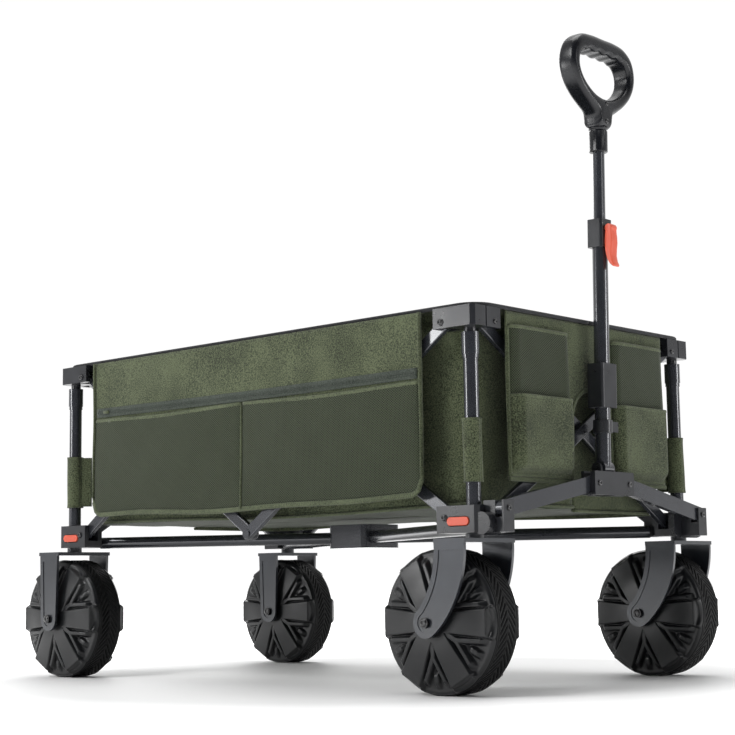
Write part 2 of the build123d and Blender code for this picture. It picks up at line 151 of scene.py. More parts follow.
def noise(tree, scale, detail=2.0, rough=0.5):
    """Noise in object space."""
    place = add(tree, "ShaderNodeTexCoord")
    node = add(tree, "ShaderNodeTexNoise")
    node.inputs["Scale"].default_value = scale
    node.inputs["Detail"].default_value = detail
    node.inputs["Roughness"].default_value = rough
    tree.links.new(place.outputs["Object"], node.inputs["Vector"])
    return node.outputs["Fac"]


def bump(tree, shader, height, distance, strength=1.0, below=None):
    """Bump from a height socket; returns the node's normal."""
    node = add(tree, "ShaderNodeBump")
    node.inputs["Distance"].default_value = distance
    node.inputs["Strength"].default_value = strength
    tree.links.new(height, node.inputs["Height"])
    if below is not None:
        tree.links.new(below, node.inputs["Normal"])
    tree.links.new(node.outputs[0], shader.inputs["Normal"])
    return node.outputs[0]


def wall_coordinates(tree):
    """Coordinates along a wall and up it, for walls that face X or Y."""
    place = add(tree, "ShaderNodeTexCoord")
    axes = add(tree, "ShaderNodeSeparateXYZ")
    tree.links.new(place.outputs["Object"], axes.inputs[0])
    along = math_node(tree, "ADD", axes.outputs[0], axes.outputs[1])
    return along, axes.outputs[2]


def canvas(name, dark, light, thread=0.0011):
    """Melange canvas: two-tone yarn speckle, basket weave and a soft sheen."""
    mat, tree, shader = new_material(name)
    along, up = wall_coordinates(tree)
    warp = math_node(tree, "SINE", math_node(tree, "MULTIPLY", along, tau / thread))
    weft = math_node(tree, "SINE", math_node(tree, "MULTIPLY", up, tau / thread))
    weave = math_node(tree, "MULTIPLY", warp, weft)
    fleck = noise(tree, 560, 2.0, 0.6)
    patch = noise(tree, 14, 3.0)
    tone = math_node(tree, "ADD", math_node(tree, "MULTIPLY", fleck, 0.75), math_node(tree, "MULTIPLY", patch, 0.25))
    colour = ramp(tree, tone, ((0.40, dark), (0.58, light)))
    tree.links.new(colour, shader.inputs["Base Color"])
    shader.inputs["Roughness"].default_value = 0.86
    shader.inputs["Sheen Weight"].default_value = 0.12
    shader.inputs["Sheen Roughness"].default_value = 0.5
    shader.inputs["Specular IOR Level"].default_value = 0.25
    first = bump(tree, shader, weave, 0.00018, 0.55)
    bump(tree, shader, fleck, 0.0005, 0.5, first)
    return mat


def mesh_cloth(name, thread, hole_shade, pitch=0.0052):
    """Knitted mesh: staggered diamond holes, with painted shade in them for the dark inside of the pocket."""
    mat, tree, shader = new_material(name)
    along, up = wall_coordinates(tree)
    u = math_node(tree, "MULTIPLY", along, pi / pitch)
    v = math_node(tree, "MULTIPLY", up, pi / (pitch * 0.72))
    rising = math_node(tree, "SINE", math_node(tree, "ADD", u, v))
    falling = math_node(tree, "SINE", math_node(tree, "SUBTRACT", u, v))
    cell = math_node(tree, "MULTIPLY", math_node(tree, "ABSOLUTE", rising), math_node(tree, "ABSOLUTE", falling))
    patch = noise(tree, 20, 2.0)
    cell_mix = math_node(tree, "ADD", cell, math_node(tree, "MULTIPLY", patch, 0.08))
    # the holes take a near-black colour: painted shade of the pocket's inside, seen through the mesh
    colour = ramp(tree, cell_mix, ((0.30, thread), (0.52, hole_shade)))
    tree.links.new(colour, shader.inputs["Base Color"])
    shader.inputs["Roughness"].default_value = 0.8
    shader.inputs["Specular IOR Level"].default_value = 0.25
    shader.inputs["Sheen Weight"].default_value = 0.08
    height = math_node(tree, "SUBTRACT", 1.0, cell)
    bump(tree, shader, height, 0.0009, 0.8)
    return mat


def plastic(name, colour, roughness, grain=1400, depth=0.00003, mottled=0.25, specular=0.5):
    """Moulded plastic: fine spark texture and slight tone change."""
    mat, tree, shader = new_material(name)
    patch = noise(tree, 30, 4.0)
    dark = [c * (1 - mottled) for c in colour]
    light = [c * (1 + mottled) for c in colour]
    tree.links.new(ramp(tree, patch, ((0.3, dark), (0.7, light))), shader.inputs["Base Color"])
    rough = add(tree, "ShaderNodeMapRange")
    rough.inputs["To Min"].default_value = roughness - 0.06
    rough.inputs["To Max"].default_value = roughness + 0.08
    tree.links.new(patch, rough.inputs["Value"])
    tree.links.new(rough.outputs[0], shader.inputs["Roughness"])
    shader.inputs["Specular IOR Level"].default_value = specular
    bump(tree, shader, noise(tree, grain, 1.0), depth, 0.5)
    return mat


def coated_metal(name, colour, roughness=0.36):
    """Powder-coated steel: fine orange peel, worn a little lighter in patches."""
    mat, tree, shader = new_material(name)
    patch = noise(tree, 22, 5.0, 0.6)
    worn = [min(1, c * 1.35) for c in colour]
    tree.links.new(ramp(tree, patch, ((0.35, colour), (0.75, worn))), shader.inputs["Base Color"])
    shader.inputs["Metallic"].default_value = 0.35
    shader.inputs["Roughness"].default_value = roughness
    shader.inputs["Coat Weight"].default_value = 0.7
    shader.inputs["Coat Roughness"].default_value = 0.14
    bump(tree, shader, noise(tree, 420, 1.0), 0.00001, 0.2)
    return mat


OLIVE = canvas("olive_canvas", (0.014, 0.019, 0.008), (0.096, 0.114, 0.060))
OLIVE_INSIDE = canvas("olive_lining", (0.018, 0.025, 0.011), (0.048, 0.064, 0.030))
BINDING = canvas("olive_binding", (0.034, 0.042, 0.022), (0.100, 0.118, 0.066), 0.0016)
ZIP_TAPE = canvas("grey_green_tape", (0.026, 0.033, 0.026), (0.062, 0.074, 0.060), 0.0014)
BLACK_WEB = canvas("black_webbing", (0.010, 0.010, 0.011), (0.026, 0.027, 0.030), 0.0016)
# pocket mesh: olive threads, and near-black holes that are painted shade of the pocket's inside
MESH = mesh_cloth("pocket_mesh", (0.052, 0.066, 0.033), (0.003, 0.004, 0.003))
FRAME_METAL = coated_metal("charcoal_frame", (0.026, 0.028, 0.034), 0.22)
FORK_METAL = coated_metal("charcoal_fork", (0.020, 0.0225, 0.028), 0.34)
BLACK = plastic("black_bracket", (0.014, 0.015, 0.018), 0.28)
WHEEL = plastic("wheel_plastic", (0.007, 0.0075, 0.0085), 0.30, 900, 0.00003, 0.25, 0.42)
TREAD = plastic("tread_rubber", (0.004, 0.0042, 0.0046), 0.5, 1200, 0.00004, 0.25, 0.16)
GRIP = plastic("soft_grip", (0.006, 0.0065, 0.0085), 0.25, 1800, 0.00002, 0.25, 0.36)
ORANGE = plastic("orange_plastic", (0.62, 0.085, 0.040), 0.36, 1500, 0.00002, 0.06)
BOLT = coated_metal("black_zinc", (0.003, 0.003, 0.004), 0.3)


def finish_node(node, material):
    """Give a carried-over CAD node its material."""
    obj = frame["nodes"][node]
    obj.data.materials.clear()
    obj.data.materials.append(material)


def finish_nodes():
    """Materials of every CAD node, by the start of its name."""
    rules = (
        ("side_link", FRAME_METAL),
        ("front_cross", FRAME_METAL),
        ("rear_cross", FRAME_METAL),
        ("tow_arm", FRAME_METAL),
        ("post_", FRAME_METAL),
        ("bed_cross", FRAME_METAL),
        ("handle_lower", FRAME_METAL),
        ("handle_upper", FRAME_METAL),
        ("fork", FORK_METAL),
        ("axle", BOLT),
        ("tread", TREAD),
        ("wheel", WHEEL),
        ("release_button", ORANGE),
        ("clamp_lever", ORANGE),
        ("handle_grip", GRIP),
    )
    for node in frame["nodes"]:
        found = [m for start, m in rules if node.startswith(start)]
        finish_node(node, found[0] if found else BLACK)


# ---------------------------------------------------------------- mesh helpers


def piece(name, verts, faces, material, smooth=True):
    """A mesh object from vertices and faces."""
    mesh = bpy.data.meshes.new(name)
    mesh.from_pydata([tuple(v) for v in verts], [], [tuple(f) for f in faces])
    mesh.update()
    mesh.materials.append(material)
    if smooth:
        mesh.shade_smooth()
    obj = bpy.data.objects.new(name, mesh)
    bpy.context.scene.collection.objects.link(obj)
    return obj


def grid_faces(rows, columns, wrap_columns=False, wrap_rows=False):
    """Quad faces of a grid of rows by columns of vertices."""
    faces = []
    for i in range(rows if wrap_rows else rows - 1):
        for j in range(columns if wrap_columns else columns - 1):
            i2 = (i + 1) % rows
            j2 = (j + 1) % columns
            faces.append((i * columns + j, i * columns + j2, i2 * columns + j2, i2 * columns + j))
    return faces


def sheet_piece(name, function, rows, columns, material, thickness=0.0016):
    """A fabric sheet from function(u, v), made thick."""
    verts = [function(i / (rows - 1), j / (columns - 1)) for i in range(rows) for j in range(columns)]
    obj = piece(name, verts, grid_faces(rows, columns), material)
    thicken(obj, thickness)
    return obj


def apply_modifiers(obj):
    """Bake the modifiers into the mesh."""
    graph = bpy.context.evaluated_depsgraph_get()
    graph.update()
    mesh = bpy.data.meshes.new_from_object(obj.evaluated_get(graph))
    old = obj.data
    obj.modifiers.clear()
    obj.data = mesh
    if old.users == 0:
        bpy.data.meshes.remove(old)


def thicken(obj, thickness):
    """Give a sheet its thickness, centred on it."""
    modifier = obj.modifiers.new("thickness", "SOLIDIFY")
    modifier.thickness = thickness
    modifier.offset = 0
    apply_modifiers(obj)


def tube_along(name, points, radius, material, closed=False, sides=10, flat=1.0):
    """A round or flattened tube along a list of points."""
    points = [Vector(p) for p in points]
    count = len(points)
    verts = []
    for i, p in enumerate(points):
        before = points[(i - 1) % count] if closed or i else p
        after = points[(i + 1) % count] if closed or i < count - 1 else p
        ahead = (after - before).normalized()
        side = ahead.cross(Vector((0, 0, 1)))
        side = side.normalized() if side.length > 0.2 else Vector((0, 1, 0)).cross(ahead).normalized()
        top = side.cross(ahead)
        for k in range(sides):
            a = tau * k / sides
            verts.append(p + side * cos(a) * radius * flat + top * sin(a) * radius)
    faces = grid_faces(count, sides, True, closed)
    if not closed:
        faces.append(tuple(range(sides))[::-1])
        faces.append(tuple((count - 1) * sides + k for k in range(sides)))
    return piece(name, verts, faces, material)


def wave(a, b, seed):
    """Soft folds between about -1 and 1, the same on every run."""
    return (
        sin(2.1 * a + seed) * cos(1.7 * b + 2 * seed)
        + 0.5 * sin(4.3 * a - 3.1 * b + 3 * seed)
        + 0.25 * sin(9.1 * a + 5.7 * b + 5 * seed)
    ) / 1.75


def smooth(low, high, value):
    """Smooth step between two edges."""
    t = np.clip((value - low) / (high - low), 0, 1)
    return t * t * (3 - 2 * t)


def crumple(obj, end_side_body, squashed=True):
    """Ride on a body; if the frame folds and squashed is set, give the piece its own mesh copy."""
    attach(obj, end_side_body)
    if FOLDS and squashed:
        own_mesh(obj)


def build_bed():
    """Bed cross, as a copy of the CAD part that rides on its body."""
    source = frame["nodes"]["bed_cross"]
    obj = bpy.data.objects.new("bed_cross_form", source.data.copy())
    obj.matrix_world = source.matrix_world.copy()
    bpy.context.scene.collection.objects.link(obj)
    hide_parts("bed_cross")
    crumple(obj, body_with("bed_cross"))


# ---------------------------------------------------------------- wheels

WHEEL_R = 0.103
PATTERN_R = 0.0965
SECTORS = 6
CHEVRONS = 62
CROWN_HALF = 0.0183


def face_height(r, angle):
    """How far a wheel's side stands out from its middle plane, at a radius and angle."""
    sector = tau / SECTORS
    top = 0.0448 - 0.0066 * smooth(0.020, 0.097, r) ** 1.4
    floor = 0.0362 - 0.0085 * smooth(0.035, 0.096, r)
    near = (angle + sector / 2) % sector - sector / 2
    ahead = r * np.cos(near)
    half_panel = 0.0138 + 0.10 * np.clip(ahead - 0.03, 0, 1)
    panel = 1 - smooth(half_panel - 0.0008, half_panel + 0.0038, np.abs(r * np.sin(near)))
    panel = panel * (1 - smooth(0.0925, 0.0970, ahead)) * (ahead > 0)
    off = np.abs(r * np.sin(angle % sector - sector / 2))
    spread = max(0.0, r - 0.048) * 0.50
    rib = (1 - smooth(0.0026, 0.0064, np.abs(off - spread))) * smooth(0.020, 0.026, r)
    rib = rib * (1 - smooth(0.084, 0.094, r))
    lug = (1 - smooth(0.0026, 0.0068, off)) * smooth(0.064, 0.076, r) * (1 - smooth(0.084, 0.094, r))
    hub = np.full_like(angle, 1 - smooth(0.0215, 0.0275, r))
    high = np.maximum.reduce([panel, rib * 0.85, lug * 0.60, hub])
    return floor + (top - floor) * high


def tread_radius(across, angle):
    """Radius of the tread at a place across it: steep chevron grooves over a flat crown."""
    pitch = tau / CHEVRONS
    phase = (angle + np.abs(across) * 13.5) % pitch / pitch
    groove = smooth(0.50, 0.60, phase) * (1 - smooth(0.80, 0.92, phase))
    groove = groove * (1 - smooth(0.0150, 0.0172, np.abs(across))) * smooth(0.0006, 0.0020, np.abs(across))
    return WHEEL_R - 0.0026 * groove


def shoulder_rows(angles):
    """Rows from the pattern's edge over the shoulder, with its raised line, to the crown."""
    start = face_height(PATTERN_R, angles)
    rows = []
    for t in np.linspace(0.04, 1.0, 22):
        turn = t * pi / 2
        r = PATTERN_R + (WHEEL_R - 0.0002 - PATTERN_R) * sin(turn) ** 0.9
        w = 0.0185 + (start - 0.0185) * cos(turn) ** 0.9
        line = 0.0009 * np.exp(-(((t - 0.80) / 0.05) ** 2))
        rows.append(np.stack([np.full_like(angles, r + line), w], 1))
    return rows


def wheel_mesh():
    """One wheel about the Y axis: both moulded sides, round shoulders and tread."""
    around = 480
    angles = np.arange(around) * tau / around
    radii = np.concatenate([[0.0066, 0.012], np.linspace(0.0165, PATTERN_R, 72)])
    half = [np.stack([np.full(around, r), face_height(r, angles)], 1) for r in radii]
    half += shoulder_rows(angles)
    crown = []
    for across in np.linspace(CROWN_HALF, -CROWN_HALF, 47):
        crown.append(np.stack([tread_radius(across, angles), np.full(around, across)], 1))
    other = [row * np.array([1, -1]) for row in half[::-1]]
    profile = np.array(half + crown + other)
    r, y = profile[..., 0], profile[..., 1]
    verts = np.stack([r * np.cos(angles), y, r * np.sin(angles)], -1).reshape(-1, 3)
    mesh = bpy.data.meshes.new("wheel_form")
    mesh.from_pydata(verts.tolist(), [], grid_faces(len(profile), around, True, True))
    mesh.materials.append(WHEEL)
    mesh.materials.append(TREAD)
    start = (len(half) - 6) * around
    stop = (len(half) + len(crown) + 6) * around
    index = np.arange(len(mesh.polygons))
    mesh.polygons.foreach_set("material_index", ((index >= start) & (index < stop)).astype(np.int32))
    mesh.update()
    mesh.shade_smooth()
    bm = bmesh.new()
    bm.from_mesh(mesh)
    bmesh.ops.recalc_face_normals(bm, faces=bm.faces)
    bm.to_mesh(mesh)
    bm.free()
    return mesh


def build_wheels():
    """Four detailed wheels on their hubs."""
    form = wheel_mesh()
    for (end, side), hub in HUB.items():
        obj = bpy.data.objects.new(f"wheel_{end}_{side}_form", form.copy())
        bpy.context.scene.collection.objects.link(obj)
        obj.data.transform(Matrix.Translation(hub))
        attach(obj, body_with(f"wheel_{end}_{side}"))
        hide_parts(f"wheel_{end}_{side}", f"tread_{end}_{side}")


# ---------------------------------------------------------------- grip


HANDLE_LEAN = radians(1.2)
FERRULE_HEIGHT = 0.037
GRIP_HALF_DEPTH = 0.0172
GRIP_FACE = 0.0166


def axis_at(z):
    """The handle axis's place along X at a height, at rest."""
    low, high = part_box("handle_upper_tube")
    middle_x, middle_z = (low.x + high.x) / 2, (low.z + high.z) / 2
    return middle_x + (z - middle_z) * sin(HANDLE_LEAN)


def power(value, exponent):
    """A power that keeps the sign."""
    return np.sign(value) * abs(value) ** exponent


GRIP_OUTER = ((0, 145), (30, 145), (56, 141), (76, 127), (84, 104), (82, 82), (72, 62), (55, 45), (36, 32),
              (21, 21), (17, 9), (14.5, 1), (0, 0))
GRIP_INNER = ((0, 119), (28, 119), (47, 117), (60, 110), (66, 97), (64, 82), (54, 68), (40, 58), (25, 51),
              (12, 48), (5, 47), (2, 47), (0, 47))


def smooth_half(points, place):
    """A place on a curve through the points, in millimetres across and up."""
    i = min(int(place), len(points) - 2)
    t = place - i
    ring = [(-points[1][0], points[1][1])] + list(points) + [(-points[-2][0], points[-2][1])]
    p0, p1, p2, p3 = (np.array(ring[i + k], float) for k in range(4))
    bend = (2 * p0 - 5 * p1 + 4 * p2 - p3) * t * t + (3 * p1 - p0 - 3 * p2 + p3) * t ** 3
    return (2 * p1 + (p2 - p0) * t + bend) / 2


def grip_outlines(share):
    """Outer and inner outline points of the D-ring, across and up from the ferrule's seam."""
    steps = len(GRIP_OUTER) - 1
    place = share * 2 * steps
    side = 1 if place <= steps else -1
    place = place if place <= steps else 2 * steps - place
    outer, inner = (smooth_half(points, place) for points in (GRIP_OUTER, GRIP_INNER))
    if place < 3 and abs(inner[0]) < 48:
        inner[1] -= 2.6 * (0.5 + 0.5 * cos(inner[0] / 24 * tau)) - 1
    return Vector((side * outer[0], outer[1])) * MM, Vector((side * inner[0], inner[1])) * MM


def grip_section(thickness):
    """Depth and distance across the ring, round one section with well-rounded edges."""
    half = GRIP_HALF_DEPTH
    outer = min(0.0125, 0.5 * thickness)
    inner = min(0.0080, 0.5 * thickness)
    points = []
    for k in range(9):
        a = pi / 2 * k / 8
        points.append((half - outer * (1 - sin(a)), outer * (1 - cos(a))))
    for k in range(8, -1, -1):
        a = pi / 2 * k / 8
        points.append((half - inner * (1 - sin(a)), thickness - inner * (1 - cos(a))))
    return points + [(-depth, across) for depth, across in points[::-1]]


def lathe(name, rings, sides, material, flute=0):
    """A round piece about +Z from (height, radius) rings, closed at both ends."""
    verts = []
    for z, r, fluted in rings:
        for k in range(sides):
            a = tau * k / sides
            reach = r * (1 - 0.02 * fluted * (0.5 + 0.5 * cos(a * flute)))
            verts.append((reach * cos(a), reach * sin(a), z))
    faces = grid_faces(len(rings), sides, True)
    faces += [tuple(range(sides))[::-1], tuple((len(rings) - 1) * sides + k for k in range(sides))]
    return piece(name, verts, faces, material)


def build_grip():
    """D-grip with finger scallops under its top bar, its web, screws and round ferrule."""
    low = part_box("handle_grip")[0]
    body = body_with("handle_grip")
    turn = Matrix.Rotation(HANDLE_LEAN, 4, "Y")
    foot_centre = Vector((axis_at(low.z), 0, low.z))
    count = 192
    verts = []
    for i in range(count):
        outer, inner = grip_outlines(i / count)
        across = inner - outer
        for depth, share in grip_section(across.length):
            spot = outer + across.normalized() * share
            verts.append((depth, spot.x, spot.y + FERRULE_HEIGHT))
    obj = piece("grip_ring", verts, grid_faces(count, len(verts) // count, True, True), GRIP)
    foot = Matrix.Translation(foot_centre) @ turn
    obj.data.transform(foot)
    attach(obj, body)
    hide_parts("handle_grip")
    rings = ((0.0, 0.0135, 0), (0.0010, 0.0145, 0), (0.0014, 0.0145, 1), (0.0325, 0.0145, 1), (0.0330, 0.0145, 0),
             (0.0338, 0.0132, 0), (0.0360, 0.0132, 0), (0.0368, 0.0150, 0), (0.0400, 0.0150, 0))
    neck = lathe("grip_ferrule", rings, 56, GRIP, 14)
    neck.data.transform(foot)
    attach(neck, body)
    for k, z in enumerate((0.0480, 0.0760)):
        place = foot @ Matrix.Translation((GRIP_FACE, 0, z))
        head = screw_head(f"grip_screw_{k}", 0.0040, place, Vector((1, 0, 0)))
        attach(head, body)


def screw_head(name, radius, frame_matrix, axis):
    """Pan-head screw with a hexagonal socket, at a place and facing along an axis."""
    sides = 36
    rings = ((-0.0010, 1.0), (0.0006, 1.0), (0.0016, 0.86), (0.0020, 0.62), (0.0020, 0.48), (0.0002, 0.46))
    verts = []
    for z, share in rings:
        for k in range(sides):
            a = tau * k / sides
            r = radius * share
            if share < 0.5:
                r *= cos(pi / 6) / cos((a + pi / 6) % (pi / 3) - pi / 6)
            verts.append((r * cos(a), r * sin(a), z))
    faces = grid_faces(len(rings), sides, True)
    faces += [tuple(range(sides))[::-1], tuple((len(rings) - 1) * sides + k for k in range(sides))]
    obj = piece(name, verts, faces, BOLT)
    turn = axis.to_track_quat("Z", "Y").to_matrix().to_4x4()
    obj.data.transform(frame_matrix @ turn)
    return obj


LEVER_EYE_R = 0.0064
LEVER_REACH = 0.0205
LEVER_BACK = ((-5.6, -6), (-6.6, -14), (-7.2, -24), (-6.6, -36), (-4.0, -48), (1.0, -57), (6.5, -62))
LEVER_FRONT = ((9.0, -60), (6.0, -53), (4.4, -44), (5.2, -34), (6.6, -24), (6.4, -14), (5.6, -8))


def build_lever():
    """Orange cam lever: round eye on its pin, crescent body and a flicked-out tail."""
    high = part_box("clamp_lever")[1]
    outline = []
    for k in range(20):
        a = radians(-30 + 235 * k / 19)
        outline.append((LEVER_EYE_R * cos(a), LEVER_EYE_R * sin(a)))
    for x, z in LEVER_BACK + LEVER_FRONT:
        outline.append((x * MM, z * MM))
    count = len(outline)
    eye_x, eye_z = axis_at(high.z) + LEVER_REACH, high.z - LEVER_EYE_R
    verts = [(eye_x + x, y, eye_z + z) for y in (-0.0082, 0.0082) for x, z in outline]
    faces = grid_faces(2, count, True)
    faces += [tuple(range(count))[::-1], tuple(range(count, 2 * count))]
    obj = piece("clamp_lever_form", verts, faces, ORANGE)
    edge = obj.modifiers.new("edge", "BEVEL")
    edge.width, edge.segments, edge.limit_method = 0.0013, 3, "ANGLE"
    edge.angle_limit = radians(50)
    apply_modifiers(obj)
    obj.data.shade_smooth()
    obj.data.set_sharp_from_angle(angle=radians(35))
    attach(obj, body_with("clamp_lever"))
    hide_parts("clamp_lever")


def build_screws():
    """Screw heads on the brackets, forks and yoke."""
    spots = []
    for (end, side), post in POST.items():
        e, s = ENDS[end], SIDES[side]
        for node, z in ((f"base_bracket_{end}_{side}", BASE_PIVOT_Z), (f"top_bracket_{end}_{side}", TOP_PIVOT_Z)):
            place = (post.x - e * SIDE_PIVOT_IN, post.y + s * 0.0200, z)
            spots.append((f"screw_{node}", node, place, (0, s, 0), 0.0047))
        place = (post.x + e * 0.0214, post.y - s * END_PIVOT_IN, TOP_PIVOT_Z)
        spots.append((f"end_screw_{end}_{side}", f"top_bracket_{end}_{side}", place, (e, 0, 0), 0.0042))
        hub = HUB[(end, side)]
        for facing in (-1, 1):
            place = (hub.x, hub.y + facing * 0.0602, hub.z)
            spots.append((f"axle_cap_{end}_{side}_{facing + 1}", f"axle_{end}_{side}", place, (0, facing, 0), 0.0065))
    yoke_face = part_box("handle_yoke")[1].x - 0.0012
    for side, s in SIDES.items():
        place = (yoke_face, s * YOKE_PIVOT_Y, YOKE_PIVOT_Z)
        spots.append((f"yoke_screw_{side}", "handle_yoke", place, (1, 0, 0), 0.0046))
        place = (middle("tow_arm_right").x + 0.0096, s * CLEVIS_Y, CLEVIS_Z)
        spots.append((f"clevis_screw_{side}", f"base_bracket_front_{side}", place, (1, 0, 0), 0.0046))
    for name, node, place, axis, radius in spots:
        head = screw_head(name, radius, Matrix.Translation(place), Vector(axis))
        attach(head, body_with(node))


# ---------------------------------------------------------------- fabric tub

TUB_X = 0.443
TUB_Y = 0.247
TUB_CORNER = 0.032
WALL_LOW = 0.2675
WALL_HIGH = 0.5535
WALL_STEPS = 26
HEM_X = 0.4785
HEM_Y = 0.2735
FLOOR_Z = 0.2745


def rounded_loop(half_x, half_y, radius, per_corner=10, per_side=46):
    """Points round a rectangle with round corners, anticlockwise from the right front."""
    points = []
    for k, (sx, sy) in enumerate(((1, 1), (-1, 1), (-1, -1), (1, -1))):
        cx, cy = sx * (half_x - radius), sy * (half_y - radius)
        for i in range(per_corner):
            a = pi / 2 * (k + i / (per_corner - 1))
            points.append((cx + radius * cos(a), cy + radius * sin(a)))
        nx, ny = ((-1, 1), (-1, -1), (1, -1), (1, 1))[k]
        ex, ey = nx * (half_x - radius), ny * (half_y - radius)
        start = points[-1]
        stop = (ex, ny * half_y) if k % 2 == 0 else (nx * half_x, ey)
        for i in range(1, per_side):
            f = i / per_side
            points.append((start[0] + (stop[0] - start[0]) * f, start[1] + (stop[1] - start[1]) * f))
    return points


def tub_half(side):
    """Right or left half of the tub: walls, floor and turned-over hem, split on the centre line."""
    s = SIDES[side]
    loop = rounded_loop(TUB_X, TUB_Y, TUB_CORNER)
    keep = [(x, y) for x, y in loop if s * y >= -1e-6]
    order = sorted(keep, key=lambda p: atan2(s * p[1] + 1e-9, p[0]))
    path = [(TUB_X, 0.0)] + [p for p in order if abs(p[1]) > 1e-4] + [(-TUB_X, 0.0)]
    verts = []
    for i in range(WALL_STEPS + 1):
        up = i / WALL_STEPS
        z = WALL_LOW + (WALL_HIGH - WALL_LOW) * up
        for x, y in path:
            sway = 0.0022 * sin(pi * up) * wave(9 * (x + 2 * y), 14 * z, 1.3 + s)
            drop = 0.0035 * (1 - up) * sin(7 * x + 5 * y + s)
            px = x - np.sign(x) * abs(x / TUB_X) ** 8 * (0.0025 - sway)
            py = y - np.sign(y) * abs(y / TUB_Y) ** 8 * (0.0025 - sway)
            verts.append((MID_X + px, py, z + drop))
    for share, z in ((0.25, 0.5562), (0.6, 0.5585), (1.0, 0.5590)):
        wide_x = 1 + (HEM_X / TUB_X - 1) * share
        wide_y = 1 + (HEM_Y / TUB_Y - 1) * share
        verts += [(MID_X + x * wide_x, y * wide_y, z) for x, y in path]
    columns = len(path)
    rows = len(verts) // columns
    obj = piece(f"tub_wall_{side}", verts, grid_faces(rows, columns), OLIVE)
    thicken(obj, 0.0022)
    crumple(obj, body_with(f"top_bracket_rear_{side}"))
    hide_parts("fabric_tub")

    def floor_at(u, v):
        x = (TUB_X - 0.002) * (2 * u - 1)
        y = s * (TUB_Y - 0.0015) * v
        dip = 0.0045 * sin(pi * u) * cos(pi * v / 2) + 0.0012 * wave(8 * u, 5 * v, 0.7)
        edge = max(abs(2 * u - 1), v) ** 12
        return (MID_X + x, y, FLOOR_Z - dip - 0.004 * edge)

    floor = sheet_piece(f"tub_floor_{side}", floor_at, 70, 22, OLIVE_INSIDE, 0.004)
    crumple(floor, body_with(f"base_bracket_rear_{side}"))

    wide_x, wide_y = (HEM_X + 0.003) / TUB_X, (HEM_Y + 0.003) / TUB_Y
    hem_path = [(MID_X + x * wide_x, y * wide_y, 0.5568) for x, y in path]
    hem = tube_along(f"rim_piping_{side}", hem_path, 0.0031, BLACK_WEB, False, 12)
    crumple(hem, body_with(f"top_bracket_rear_{side}"))
    foot_path = []
    for x, y in path:
        foot_path.append((MID_X + x * 1.001, y * 1.002, WALL_LOW + 0.001 + 0.0035 * sin(7 * x + 5 * y + s)))
    foot = tube_along(f"tub_bottom_piping_{side}", foot_path, 0.0026, BINDING, False, 10)
    crumple(foot, body_with(f"base_bracket_rear_{side}"))


# ---------------------------------------------------------------- side panels

PANEL_HALF = 0.383
PANEL_OUT = 0.2858
PANEL_TOP = 0.553
PANEL_FOOT = 0.2845
POCKET_TOP = 0.4495
ZIP_LOW, ZIP_HIGH = 0.4555, 0.4715


def panel_foot(x):
    """Height of a side panel's lower edge: it sags between its round corners."""
    return PANEL_FOOT - 0.005 * cos(pi * x / (2 * PANEL_HALF)) ** 2 + 0.0015 * sin(19 * x)


def panel_plane(side, x, z, out):
    """A point on a side panel, out from the frame."""
    s = SIDES[side]
    sway = 0.0014 * wave(7 * x, 9 * z, 2.2 + s) * (1 - smooth(0.53, 0.553, z))
    return (MID_X + x, s * (PANEL_OUT + out + sway), z)


def panel_corner(x, z, radius=0.022):
    """Pull a point of the panel's grid in round its lower corners."""
    edge = PANEL_HALF - abs(x)
    low = panel_foot(x)
    if edge < radius:
        low += radius - (max(0.0, radius**2 - (radius - edge) ** 2)) ** 0.5
    return low + (z - PANEL_FOOT) * (PANEL_TOP - low) / (PANEL_TOP - PANEL_FOOT)


